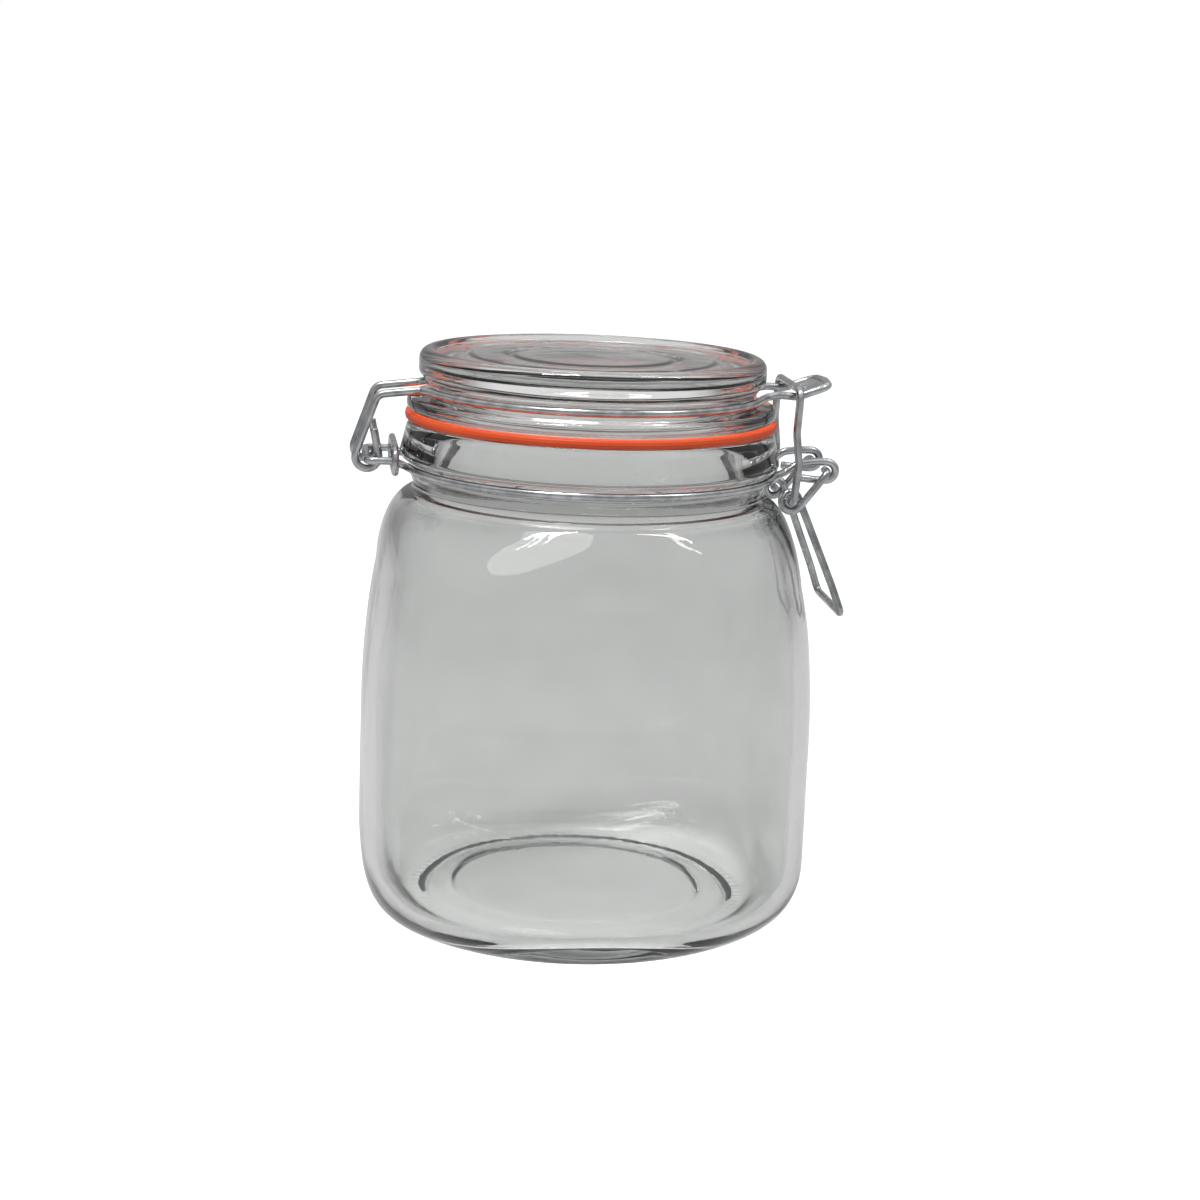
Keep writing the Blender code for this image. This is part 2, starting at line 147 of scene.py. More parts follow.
def glass_material(name, light_tint, deep_tint, ripple_mm, peel_mm, depth_density):
    """Clear soda-lime glass. The eye sees long soft ripples from the mould, a fine orange peel from fire
    polishing that breaks up highlights, and a faint green-grey that deepens where the path is long."""
    material, tree, shader = new_material(name)
    place = add_node(tree, "ShaderNodeTexCoord").outputs["Object"]
    ripple = add_node(tree, "ShaderNodeTexNoise", {
        "Vector": place, "Scale": 1 / (ripple_mm * MM), "Detail": 1.0, "Roughness": 0.4})
    peel = add_node(tree, "ShaderNodeTexNoise", {
        "Vector": place, "Scale": 1 / (peel_mm * MM), "Detail": 2.0, "Roughness": 0.5})
    tint = add_ramp(tree, ripple.outputs["Fac"], [(0.30, deep_tint), (0.70, light_tint)])
    haze = add_ramp(tree, peel.outputs["Fac"], [(0.35, grey(0.006)), (0.75, grey(0.030))])
    wave = add_node(tree, "ShaderNodeBump", {
        "Height": ripple.outputs["Fac"], "Strength": 0.16, "Distance": 0.35 * MM})
    skin_bump = add_node(tree, "ShaderNodeBump", {
        "Height": peel.outputs["Fac"], "Normal": wave.outputs["Normal"],
        "Strength": 0.20, "Distance": 0.03 * MM})
    tree.links.new(tint, shader.inputs["Base Color"])
    tree.links.new(haze, shader.inputs["Roughness"])
    tree.links.new(skin_bump.outputs["Normal"], shader.inputs["Normal"])
    shader.inputs["IOR"].default_value = 1.52
    shader.inputs["Transmission Weight"].default_value = 1.0
    depth = add_node(tree, "ShaderNodeVolumeAbsorption", {
        "Color": (*GLASS_DEPTH, 1.0), "Density": depth_density})
    # Lamps shine through the glass, so the floor under the jar is lit.
    shadow = add_node(tree, "ShaderNodeLightPath").outputs["Is Shadow Ray"]
    clear = add_node(tree, "ShaderNodeBsdfTransparent", {"Color": (*grey(0.93), 1.0)})
    surface = add_node(tree, "ShaderNodeMixShader", {"Fac": shadow})
    tree.links.new(shader.outputs["BSDF"], surface.inputs[1])
    tree.links.new(clear.outputs["BSDF"], surface.inputs[2])
    output = next(node for node in tree.nodes if node.type == "OUTPUT_MATERIAL")
    tree.links.new(surface.outputs["Shader"], output.inputs["Surface"])
    tree.links.new(depth.outputs["Volume"], output.inputs["Volume"])
    return material


def rubber_material(name, main, worn):
    """Moulded natural rubber, dyed orange. The eye sees an even, slightly chalky colour with a soft satin
    gloss and a fine grain left by the mould."""
    material, tree, shader = new_material(name)
    place = add_node(tree, "ShaderNodeTexCoord").outputs["Object"]
    bloom = add_node(tree, "ShaderNodeTexNoise", {
        "Vector": place, "Scale": 1 / (9 * MM), "Detail": 4.0, "Roughness": 0.6})
    grain = add_node(tree, "ShaderNodeTexNoise", {
        "Vector": place, "Scale": 1 / (0.45 * MM), "Detail": 3.0, "Roughness": 0.6})
    colour = add_ramp(tree, bloom.outputs["Fac"], [(0.35, main), (0.75, worn)])
    gloss = add_ramp(tree, grain.outputs["Fac"], [(0.30, grey(0.38)), (0.70, grey(0.55))])
    bump = add_node(tree, "ShaderNodeBump", {
        "Height": grain.outputs["Fac"], "Strength": 0.35, "Distance": 0.05 * MM})
    tree.links.new(colour, shader.inputs["Base Color"])
    tree.links.new(gloss, shader.inputs["Roughness"])
    tree.links.new(bump.outputs["Normal"], shader.inputs["Normal"])
    shader.inputs["IOR"].default_value = 1.52
    return material


def zinc_wire_material(name, bright, dull):
    """Drawn steel wire, bright zinc plated. The eye sees hard bright and dark lines along the wire, with
    fine scratches from the drawing die, and faint clouds where the plating is thicker."""
    material, tree, shader = new_material(name)
    route = add_node(tree, "ShaderNodeUVMap", uv_map="route").outputs["UV"]
    place = add_node(tree, "ShaderNodeTexCoord").outputs["Object"]
    # The route map runs 1 for each metre of wire, and 0 to 1 round it. Real die lines are 0.05 mm wide:
    # here 14 go round the wire and each is about 12 mm long, as coarse as they need to be to show.
    along = add_node(tree, "ShaderNodeMapping", {"Vector": route, "Scale": (1 / (12 * MM), 14.0, 1.0)})
    lines = add_node(tree, "ShaderNodeTexNoise", {
        "Vector": along.outputs["Vector"], "Scale": 1.0, "Detail": 3.0, "Roughness": 0.65})
    clouds = add_node(tree, "ShaderNodeTexNoise", {
        "Vector": place, "Scale": 1 / (4 * MM), "Detail": 3.0, "Roughness": 0.55})
    colour = add_ramp(tree, clouds.outputs["Fac"], [(0.35, dull), (0.65, bright)])
    gloss = add_ramp(tree, lines.outputs["Fac"], [(0.30, grey(0.13)), (0.75, grey(0.30))])
    bump = add_node(tree, "ShaderNodeBump", {
        "Height": lines.outputs["Fac"], "Strength": 0.25, "Distance": 0.03 * MM})
    tree.links.new(colour, shader.inputs["Base Color"])
    tree.links.new(gloss, shader.inputs["Roughness"])
    tree.links.new(bump.outputs["Normal"], shader.inputs["Normal"])
    shader.inputs["Metallic"].default_value = 1.0
    return material


def zinc_plate_material(name, bright, dull):
    """Pressed steel sheet, bright zinc plated. The eye sees rolling lines across the sheet, a soft hammered
    unevenness from the press, and a duller edge."""
    material, tree, shader = new_material(name)
    place = add_node(tree, "ShaderNodeTexCoord").outputs["Object"]
    across = add_node(tree, "ShaderNodeMapping", {
        "Vector": place, "Scale": (1 / (0.25 * MM), 1 / (6 * MM), 1 / (0.25 * MM))})
    rolling = add_node(tree, "ShaderNodeTexNoise", {
        "Vector": across.outputs["Vector"], "Scale": 1.0, "Detail": 3.0, "Roughness": 0.6})
    press = add_node(tree, "ShaderNodeTexNoise", {
        "Vector": place, "Scale": 1 / (2.2 * MM), "Detail": 2.0, "Roughness": 0.5})
    colour = add_ramp(tree, press.outputs["Fac"], [(0.35, dull), (0.65, bright)])
    gloss = add_ramp(tree, rolling.outputs["Fac"], [(0.30, grey(0.18)), (0.70, grey(0.36))])
    dents = add_node(tree, "ShaderNodeBump", {
        "Height": press.outputs["Fac"], "Strength": 0.30, "Distance": 0.10 * MM})
    lines = add_node(tree, "ShaderNodeBump", {
        "Height": rolling.outputs["Fac"], "Normal": dents.outputs["Normal"],
        "Strength": 0.20, "Distance": 0.02 * MM})
    tree.links.new(colour, shader.inputs["Base Color"])
    tree.links.new(gloss, shader.inputs["Roughness"])
    tree.links.new(lines.outputs["Normal"], shader.inputs["Normal"])
    shader.inputs["Metallic"].default_value = 1.0
    return material


def paper_material(name, light, shade, shaded_through_glass):
    """Seamless studio paper: matt, with faint long clouds. The camera sees it near white. Glass and metal
    pick it up as mid grey, a painted shade: a darker copy of the floor seen only by rays from glass and
    metal, in place of a grey sweep behind the jar."""
    material, tree, shader = new_material(name)
    place = add_node(tree, "ShaderNodeTexCoord").outputs["Object"]
    clouds = add_node(tree, "ShaderNodeTexNoise", {"Vector": place, "Scale": 2.0, "Detail": 2.0})
    seen = add_node(tree, "ShaderNodeLightPath").outputs["Is Camera Ray"]
    colour = add_ramp(tree, clouds.outputs["Fac"], [(0.3, shade), (0.7, light)])
    # Painted shade: rays other than the camera's see the floor in the darker colour, so the glass reads grey.
    mixed = add_node(tree, "ShaderNodeMix", data_type="RGBA")
    tree.links.new(seen, mixed.inputs["Factor"])
    mixed.inputs[MIX_COLOUR_A].default_value = (*shaded_through_glass, 1.0)
    tree.links.new(colour, mixed.inputs[MIX_COLOUR_B])
    tree.links.new(mixed.outputs[MIX_COLOUR_RESULT], shader.inputs["Base Color"])
    shader.inputs["Roughness"].default_value = 0.85
    shader.inputs["Specular IOR Level"].default_value = 0.0
    return material


# ---------------------------------------------------------------- lines

def distance_along(points):
    """The distance from the first point to each point of a line of straight runs."""
    return np.concatenate([[0.0], np.cumsum(np.linalg.norm(np.diff(points, axis=0), axis=1))])


def read_line(points, places):
    """The points at the given distances along a line of straight runs."""
    reach = distance_along(points)
    return np.stack([np.interp(places, reach, column) for column in points.T], axis=1)


def eased(points, width, closed=False, spacing=0.1 * MM):
    """Even points along a line, each replaced by the average of its neighbours under a bell of that width."""
    if closed:
        points = np.vstack([points, points[:1]])
    length = distance_along(points)[-1]
    count = int(np.ceil(length / spacing)) + 1
    even = read_line(points, np.linspace(0.0, length, count))
    reach = int(np.ceil(3 * width / spacing))
    bell = np.exp(-0.5 * (np.arange(-reach, reach + 1) * spacing / width) ** 2)
    bell /= bell.sum()
    if closed:
        wide = np.vstack([even[-reach - 1:-1], even, even[1:reach + 1]])
    else:
        before, after = 2 * even[0] - even[reach:0:-1], 2 * even[-1] - even[-2:-reach - 2:-1]
        wide = np.vstack([before, even, after])
    return np.stack([np.convolve(column, bell, mode="valid") for column in wide.T], axis=1)


def thinned(points, longest, turn_deg):
    """Keep a point for each stretch of that length and each turn of that many degrees along a line."""
    steps = np.diff(points, axis=0)
    lengths = np.maximum(np.linalg.norm(steps, axis=1), 1e-12)
    tangents = steps / lengths[:, None]
    cosines = np.clip(np.sum(tangents[1:] * tangents[:-1], axis=1), -1.0, 1.0)
    turns = np.concatenate([[0.0], np.degrees(np.arccos(cosines))])
    cost = np.concatenate([[0.0], np.cumsum(lengths / longest + turns / turn_deg)])
    wanted = np.linspace(0.0, cost[-1], int(np.ceil(cost[-1])) + 1)
    return np.stack([np.interp(wanted, cost, column) for column in points.T], axis=1)


def arc(centre, radius, start, end, steps=16):
    """Points (r, z) on an arc: centre + radius times (cos, sin) of angles from start to end, in degrees."""
    angles = np.radians(np.linspace(start, end, steps + 1))
    return np.stack([centre[0] + radius * np.cos(angles), centre[1] + radius * np.sin(angles)], axis=1)


def quarter(start, end, outward_first, steps=24):
    """Points on a quarter ellipse from start to end, which leaves start outward or else upward."""
    angles = np.linspace(0.0, np.pi / 2, steps + 1)
    near, far = np.sin(angles), 1 - np.cos(angles)
    share_r, share_z = (near, far) if outward_first else (far, near)
    return np.stack([start[0] + (end[0] - start[0]) * share_r,
                     start[1] + (end[1] - start[1]) * share_z], axis=1)


def leaning(start, end, steps=12):
    """Points from start to end whose lean grows with the square of the height."""
    share = np.linspace(0.0, 1.0, steps + 1)
    return np.stack([start[0] + (end[0] - start[0]) * share ** 2,
                     start[1] + (end[1] - start[1]) * share], axis=1)


def turn_in_plane(centre, radius, start, end, y_start, y_end, steps=48):
    """Points round a centre in the XZ plane that slide in Y: angles in degrees from +X towards +Z."""
    share = np.linspace(0.0, 1.0, steps + 1)
    angles = np.radians(start + (end - start) * share)
    return np.stack([centre[0] + radius * np.cos(angles), y_start + (y_end - y_start) * share,
                     centre[1] + radius * np.sin(angles)], axis=1)


def round_neck(radius, height, start, end, steps=160):
    """Points round the jar's axis at one height, angles in degrees."""
    angles = np.radians(np.linspace(start, end, steps + 1))
    return np.stack([radius * np.cos(angles), radius * np.sin(angles), np.full(steps + 1, height)], axis=1)


def bent(corners, steps=10):
    """Straight runs between corners of (point, bend radius), each corner replaced by an arc of its radius."""
    parts = [np.array([corners[0][0]], float)]
    for (before, _), (corner, radius), (after, _) in zip(corners, corners[1:], corners[2:]):
        corner = np.array(corner, float)
        back, on = np.array(before) - corner, np.array(after) - corner
        back, on = back / np.linalg.norm(back), on / np.linalg.norm(on)
        half = 0.5 * np.arccos(np.clip(back @ on, -1.0, 1.0))
        if radius == 0.0 or np.pi - 2 * half < np.radians(2):
            parts.append(corner[None])
            continue
        middle = (back + on) / np.linalg.norm(back + on)
        centre = corner + middle * radius / np.sin(half)
        start = corner + back * radius / np.tan(half) - centre
        normal = np.cross(start, corner + on * radius / np.tan(half) - centre)
        normal /= np.linalg.norm(normal)
        angles = np.linspace(0.0, np.pi - 2 * half, steps + 1)[:, None]
        parts.append(centre + start * np.cos(angles) + np.cross(normal, start) * np.sin(angles))
    parts.append(np.array([corners[-1][0]], float))
    return np.vstack(parts)


def both_sides(half):
    """A route and its mirror image across the XZ plane, joined at the point that lies on that plane."""
    return np.vstack([half, (half[:-1] * (1, -1, 1))[::-1]])


# ---------------------------------------------------------------- surfaces

def add_surface(name, rows, material, first=None, last=None, closed=False, route=None):
    """A mesh over a grid of points, rows by columns, whose columns wrap round.

    Row i and row i + 1 are joined by one ring of quads. first and last are points that close the open ends
    with fans, and closed joins the last row to the first. route is the distance along for each row, and
    makes a map called route with that distance and the share of the way round."""
    count, around = rows.shape[:2]
    i = np.arange(count if closed else count - 1)[:, None]
    j = np.arange(around)[None, :]
    i_next, j_next = (i + 1) % count, (j + 1) % around
    quads = np.stack([i * around + j, i * around + j_next,
                      i_next * around + j_next, i_next * around + j], axis=-1)
    points = [rows.reshape(-1, 3)]
    fans = []
    ring = np.arange(around)
    ring_next = (ring + 1) % around
    if first is not None:
        pole = np.full(around, count * around)
        fans.append(np.stack([pole, ring_next, ring], axis=1))
        points.append(np.array([first], float))
    if last is not None:
        pole = np.full(around, count * around + len(points) - 1)
        base = (count - 1) * around
        fans.append(np.stack([base + ring, base + ring_next, pole], axis=1))
        points.append(np.array([last], float))
    faces = quads.reshape(-1, 4).tolist() + [face for fan in fans for face in fan.tolist()]
    mesh = bpy.data.meshes.new(name)
    mesh.from_pydata(np.vstack(points), [], faces)
    mesh.shade_smooth()
    if route is not None:
        share = np.arange(around + 1) / around
        row = i[:, 0]
        values = (route[row][:, None], np.append(route, route[-1])[row + 1][:, None], share[:-1], share[1:])
        start, end, low, high = (np.broadcast_to(value, quads.shape[:2]) for value in values)
        corners = np.stack([start, low, start, high, end, high, end, low], axis=-1).reshape(-1, 2)
        uv = np.zeros((len(mesh.loops), 2))
        uv[:len(corners)] = corners
        mesh.uv_layers.new(name="route").data.foreach_set("uv", uv.astype(np.float32).ravel())
    mesh.materials.append(material)
    item = bpy.data.objects.new(name, mesh)
    bpy.context.scene.collection.objects.link(item)
    return item


def plan_reach(angle, power):
    """How far a rounded square |x|^n + |y|^n = 1 reaches at an angle. Power 2 is a circle."""
    return 1 / (np.abs(np.cos(angle)) ** power + np.abs(np.sin(angle)) ** power) ** (1 / power)


def turned(section, around, power=None):
    """A grid of points: the section (r, z) turned about Z, and stretched to a rounded square by power."""
    angle = np.linspace(0.0, 2 * np.pi, around, endpoint=False)[None, :]
    radius = section[:, :1] * (1.0 if power is None else plan_reach(angle, power[:, None]))
    height = np.broadcast_to(section[:, 1:], radius.shape if power is not None else (len(section), around))
    radius = np.broadcast_to(radius, height.shape)
    return np.stack([radius * np.cos(angle), radius * np.sin(angle), height], axis=-1)


def add_turned(name, section, around, material):
    """A solid of revolution from a section that starts and ends on the axis."""
    rows = turned(section[1:-1], around)
    return add_surface(name, rows, material, (0, 0, section[0, 1]), (0, 0, section[-1, 1]))


def add_wire(name, route, radius, material, closed=False, sides=20, cut_radius=0.3 * MM):
    """A round wire along a route: centre + radius times (normal cos a + side sin a).

    Its frame is carried along the route without twist, and the two cut ends have a rounded edge: within
    the cut radius c of an end at distance s, the wire's radius is R - c + sqrt(c^2 - (c - s)^2)."""
    line = eased(np.array(route, float), 0.45 * MM, closed)
    fine = thinned(line, 1.6 * MM, 7.0)
    reach = distance_along(fine)
    length = reach[-1]
    if closed:
        places = reach[:-1]
    else:
        edge = cut_radius * (1 - np.cos(np.linspace(0.0, np.pi / 2, 6)))
        inner = reach[(reach > 1.3 * cut_radius) & (reach < length - 1.3 * cut_radius)]
        places = np.concatenate([edge, inner, length - edge[::-1]])
    centres = read_line(line, places * distance_along(line)[-1] / length)
    ahead, behind = places + 0.05 * MM, places - 0.05 * MM
    if closed:
        ahead, behind = ahead % length, behind % length
    scale = distance_along(line)[-1] / length
    tangents = read_line(line, ahead * scale) - read_line(line, behind * scale)
    tangents /= np.linalg.norm(tangents, axis=1)[:, None]
    normal = np.cross(tangents[0], (0.0, 0.0, 1.0))
    if np.linalg.norm(normal) < 0.1:
        normal = np.cross(tangents[0], (0.0, 1.0, 0.0))
    normals = []
    for tangent in tangents:
        normal = normal - tangent * (normal @ tangent)
        normal /= np.linalg.norm(normal)
        normals.append(normal)
    normals = np.array(normals)
    side_ways = np.cross(tangents, normals)
    if closed:
        swell = np.full(len(places), radius)
    else:
        inset = cut_radius - np.minimum(np.minimum(places, length - places), cut_radius)
        swell = radius - cut_radius + np.sqrt(np.maximum(cut_radius ** 2 - inset ** 2, 0.0))
    angle = np.linspace(0.0, 2 * np.pi, sides, endpoint=False)[None, :, None]
    rows = centres[:, None] + swell[:, None, None] * (
        normals[:, None] * np.cos(angle) + side_ways[:, None] * np.sin(angle))
    ends = (None, None) if closed else (centres[0], centres[-1])
    return add_surface(name, rows, material, ends[0], ends[1], closed, places)


def finish_piece(piece, body, node):
    """Let a piece ride on its body and stand for its CAD node, whose part is hidden."""
    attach(piece, body)
    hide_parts(node)
    return piece


# ---------------------------------------------------------------- sizes and colours a user would change

class JarSettings(bpy.types.PropertyGroup):
    """The blown jar."""
    wall: FloatProperty(name="Wall", description="Thickness of the glass wall",
                        default=3.6 * MM, unit="LENGTH")
    plan_power: FloatProperty(name="Squareness", description="Roundness of the body's plan, 2 is a circle",
                              default=3.4, min=2.0)
    foot_radius: FloatProperty(name="Foot radius", description="Outer radius of the ring the jar stands on",
                               default=46.5 * MM, unit="LENGTH")
    punt: FloatProperty(name="Punt", description="How far the middle of the foot is pushed up",
                        default=2.2 * MM, unit="LENGTH")
    ticks: IntProperty(name="Foot ticks", description="Small raised ticks round the foot ring", default=84)
    waviness: FloatProperty(name="Waviness", description="How far the inner wall wanders",
                            default=0.07 * MM, unit="LENGTH")
    light_tint: FloatVectorProperty(name="Light tint", description="Colour of the thin glass",
                                    subtype="COLOR", size=3, default=linear("#F3F4F3"))
    deep_tint: FloatVectorProperty(name="Deep tint", description="Colour of the thicker glass",
                                   subtype="COLOR", size=3, default=linear("#EFF0EF"))


class LidSettings(bpy.types.PropertyGroup):
    """The pressed lid."""
    flange_radius: FloatProperty(name="Flange radius", default=44.3 * MM, unit="LENGTH",
                                 description="Radius of the raised disc above the groove")
    dish_radius: FloatProperty(name="Dish radius", description="Radius of the recess in the top",
                               default=40.0 * MM, unit="LENGTH")
    outer_ring_radius: FloatProperty(name="Outer ring radius", default=32.0 * MM, unit="LENGTH",
                                     description="Radius of the outer ring in the dish")
    ring_radius: FloatProperty(name="Ring radius", description="Radius of the shallow ring in the dish",
                               default=21.0 * MM, unit="LENGTH")
    light_tint: FloatVectorProperty(name="Light tint", description="Colour of the thin glass",
                                    subtype="COLOR", size=3, default=linear("#F7F7F6"))
    deep_tint: FloatVectorProperty(name="Deep tint", description="Colour of the thicker glass",
                                   subtype="COLOR", size=3, default=linear("#F3F3F2"))


class SealSettings(bpy.types.PropertyGroup):
    """The rubber seal."""
    edge: FloatProperty(name="Edge radius", description="Rounding of the seal's outer edge",
                        default=0.6 * MM, unit="LENGTH")
    main: FloatVectorProperty(name="Colour", description="Colour of the rubber",
                              subtype="COLOR", size=3, default=linear("#BD3B05"))
    worn: FloatVectorProperty(name="Bloom", description="Colour where the rubber has bloomed",
                              subtype="COLOR", size=3, default=linear("#C2460F"))


class WireSettings(bpy.types.PropertyGroup):
    """The wires and the pressed plate."""
    radius: FloatProperty(name="Wire radius", description="Half the thickness of the wire",
                          default=1.0 * MM, unit="LENGTH")
    bright: FloatVectorProperty(name="Bright zinc", description="Colour of fresh plating", subtype="COLOR",
                                size=3, default=linear("#C4C6C8"))
    dull: FloatVectorProperty(name="Dull zinc", description="Colour of thicker plating", subtype="COLOR",
                              size=3, default=linear("#9EA0A2"))


class StageSettings(bpy.types.PropertyGroup):
    """Floor, light and camera."""
    floor_radius: FloatProperty(name="Floor radius", description="Radius of the floor",
                                default=80.0, unit="LENGTH")
    paper: FloatVectorProperty(name="Paper", description="Colour of the floor", subtype="COLOR",
                               size=3, default=linear("#FBFBFB"))
    paper_shade: FloatVectorProperty(name="Paper shade", description="Colour of the floor's clouds",
                                     subtype="COLOR", size=3, default=linear("#F9F9F9"))
    # Painted shade: the floor's darker colour for rays from glass and metal, which makes the glass read grey.
    paper_shaded_in_glass: FloatVectorProperty(name="Shaded paper in glass", subtype="COLOR",
                                        description="Colour of the floor seen through glass",
                                        size=3, default=linear("#B2B2B2"))
    camera_place: FloatVectorProperty(name="Camera", description="Where the camera stands", subtype="XYZ",
                                      size=3, default=(-0.0769, -0.6158, 0.2169))
    camera_yaw: FloatProperty(name="Yaw", description="Camera turned to the right of +Y", subtype="ANGLE",
                              default=np.radians(7.50))
    camera_pitch: FloatProperty(name="Pitch", description="Camera tilted down", subtype="ANGLE",
                                default=np.radians(12.21))
    camera_roll: FloatProperty(name="Roll", description="Camera rolled to the left", subtype="ANGLE",
                               default=np.radians(2.3))
    camera_lens: FloatProperty(name="Lens", description="Focal length in millimetres", default=73.16)


class ClampJarSettings(bpy.types.PropertyGroup):
    """All the settings of the jar."""
    jar: PointerProperty(type=JarSettings, name="Jar", description="The blown jar")
    lid: PointerProperty(type=LidSettings, name="Lid", description="The pressed lid")
    seal: PointerProperty(type=SealSettings, name="Seal", description="The rubber seal")
    wire: PointerProperty(type=WireSettings, name="Wire", description="The wires and the plate")
    stage: PointerProperty(type=StageSettings, name="Stage", description="Floor, light and camera")


# ---------------------------------------------------------------- the jar

FLOOR_TOP = 6.2 * MM
FLAT_LOW, FLAT_HIGH = 21 * MM, 52 * MM          # the sides stand upright between these heights
SHOULDER_LOW, SHOULDER_TOP = 91.0 * MM, 111.4 * MM
SHOULDER_HALF = 54.0 * MM
NOTCH_RADIUS, GROOVE_RADIUS, BULGE_RADIUS = 45.0 * MM, 46.4 * MM, 48.8 * MM
BAND_Z, BULGE_Z = 117.9 * MM, 120.8 * MM
MOUTH_RADIUS, RIM_RADIUS = 41.2 * MM, 46.6 * MM
TICK_RADIUS, TICK_REACH, TICK_HEIGHT = 45.3 * MM, 1.4 * MM, 0.25 * MM
JAR_AROUND, LID_AROUND = 336, 288               # points round the jar, and round the lid and seal


def plan_power(height, most):
    """Roundness of the plan by height: 2, a circle, at foot and neck, and most on the body, by a sine."""
    low = np.clip(height / FLAT_LOW, 0.0, 1.0)
    high = np.clip((SHOULDER_TOP - 3 * MM - height) / (30 * MM), 0.0, 1.0)
    return 2.0 + (most - 2.0) * np.minimum(np.sin(low * np.pi / 2), np.sin(high * np.pi / 2) ** 1.5)


def side_section(inset, foot, neck):
    """One wall from foot to neck: quarter ellipse, upright, lean by the square, quarter ellipse."""
    half, shoulder = BODY_HALF - inset, SHOULDER_HALF - inset
    return np.vstack([quarter(foot, (half, FLAT_LOW), True),
                      leaning((half, FLAT_HIGH), (shoulder, SHOULDER_LOW)),
                      quarter((shoulder, SHOULDER_LOW), neck, False)])


def jar_section(settings):
    """The jar's outer and inner wall as (r, z), from the middle of the foot to the middle of the floor."""
    foot = settings.foot_radius
    punt = settings.punt
    under = [(0.0, punt + 0.4 * MM), (32.5 * MM, punt + 0.2 * MM), (33.5 * MM, punt - 0.3 * MM),
             (40 * MM, 1.6 * MM), (42.6 * MM, 0.5 * MM), (43.8 * MM, 0.0)]
    neck = [(NOTCH_RADIUS, SHOULDER_TOP), (NOTCH_RADIUS, SHOULDER_TOP + 1.2 * MM),
            (GROOVE_RADIUS, BAND_Z - 1.6 * MM), (GROOVE_RADIUS, BAND_Z + 0.4 * MM),
            (BULGE_RADIUS - 0.5 * MM, BULGE_Z - 1.2 * MM), (BULGE_RADIUS, BULGE_Z),
            (RIM_RADIUS + 0.6 * MM, RIM_Z - 1.6 * MM), (RIM_RADIUS - 0.3 * MM, RIM_Z)]
    outside = side_section(0.0, (foot, 0.0), (NOTCH_RADIUS + MM, SHOULDER_TOP - 0.8 * MM))
    outer = np.vstack([under, outside, neck])
    mouth = [(MOUTH_RADIUS + 0.5 * MM, RIM_Z), (MOUTH_RADIUS, RIM_Z - 0.6 * MM)]
    inside = side_section(settings.wall, (foot - MM, FLOOR_TOP), (MOUTH_RADIUS, SHOULDER_TOP - 2 * MM))[::-1]
    floor = [(41 * MM, FLOOR_TOP - 0.3 * MM), (36 * MM, FLOOR_TOP + 0.2 * MM), (0.0, FLOOR_TOP + 0.5 * MM)]
    return outer, np.vstack([mouth, inside, floor])


def build_glass_jar(settings):
    """Turned section with a rounded-square plan; the inner wall wanders by a sum of slow waves, and the foot
    ring carries ticks whose height is a raised cosine of the angle."""
    outer, inner = jar_section(settings)
    section = thinned(eased(np.vstack([outer, inner]), 0.45 * MM), 4.5 * MM, 8.0)
    section[:, 0] = np.maximum(section[:, 0], 0.0)
    section[:, 1] = np.maximum(section[:, 1], 0.0)
    section = section[1:-1]
    rows = turned(section, JAR_AROUND, plan_power(section[:, 1], settings.plan_power))
    angle = np.arctan2(rows[..., 1], rows[..., 0])
    height = rows[..., 2]
    rim = int(np.argmax(section[:, 1] + 10 * (np.abs(section[:, 0] - MOUTH_RADIUS) < 0.3 * MM)))
    inside = np.arange(len(section))[:, None] > rim
    middle = np.clip((height - 16 * MM) / (25 * MM), 0, 1) * np.clip((104 * MM - height) / (14 * MM), 0, 1)
    wave = (np.cos(3 * angle + 1.3 + 45 * height) + 0.7 * np.cos(5 * angle - 70 * height)
            + 0.5 * np.cos(8 * angle + 2.1 + 110 * height)) / 2.2
    drift = 1 + np.where(inside, settings.waviness * wave * middle / BODY_HALF, 0.0)
    rows[..., :2] *= drift[..., None]
    reach = np.hypot(rows[..., 0], rows[..., 1])
    band = np.clip(1 - np.abs(reach - TICK_RADIUS) / TICK_REACH, 0, 1) * (height < 0.3 * MM) * ~inside
    rows[..., 2] += TICK_HEIGHT * band * (0.5 - 0.5 * np.cos(settings.ticks * angle))
    material = glass_material("soda_lime_glass_blown", settings.light_tint, settings.deep_tint, 14, 1.1, 14.0)
    return add_surface("jar_glass", rows, material, (0, 0, section[0, 1]), (0, 0, section[-1, 1]))


# ---------------------------------------------------------------- the lid and the seal

